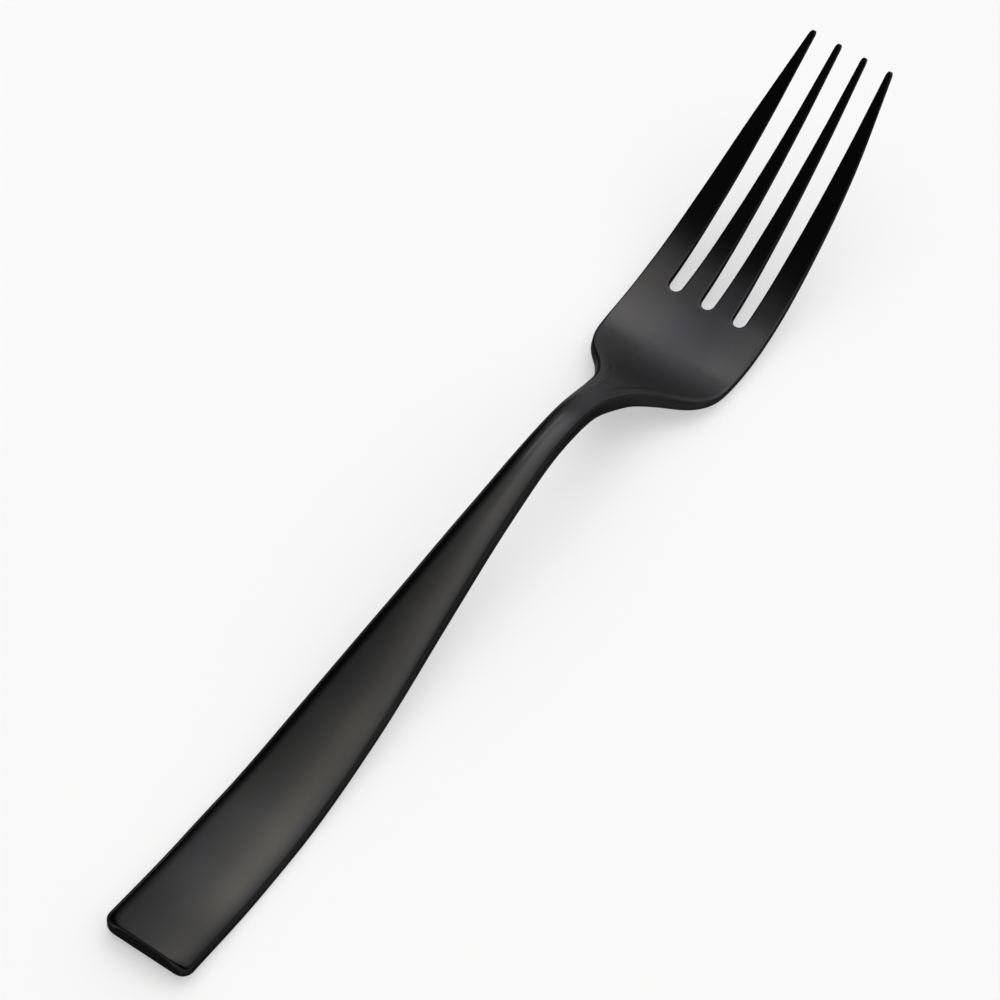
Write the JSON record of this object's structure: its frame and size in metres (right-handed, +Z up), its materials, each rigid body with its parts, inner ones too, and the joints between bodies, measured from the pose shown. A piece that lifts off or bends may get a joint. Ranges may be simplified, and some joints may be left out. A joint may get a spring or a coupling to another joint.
{
  "type": "dinner fork",
  "caption": "One-piece metal table fork with slim tapering tines, a shallow bowl, an arched neck and a flat handle that widens to a square butt, in satin black.",
  "frame": {"origin": "middle of the fork's plan outline, at the height of the table that the fork lies on", "axes": "+Y along the fork from the butt of the handle to the tine tips, +X across it to the right, +Z up from the table"},
  "size_m": [0.0272, 0.2062, 0.0307],
  "materials": {
    "black_steel": "satin black coating over fine lengthwise brushing"
  },
  "bodies": {
    "root": {"fork": "black_steel"}
  },
  "joints": []
}
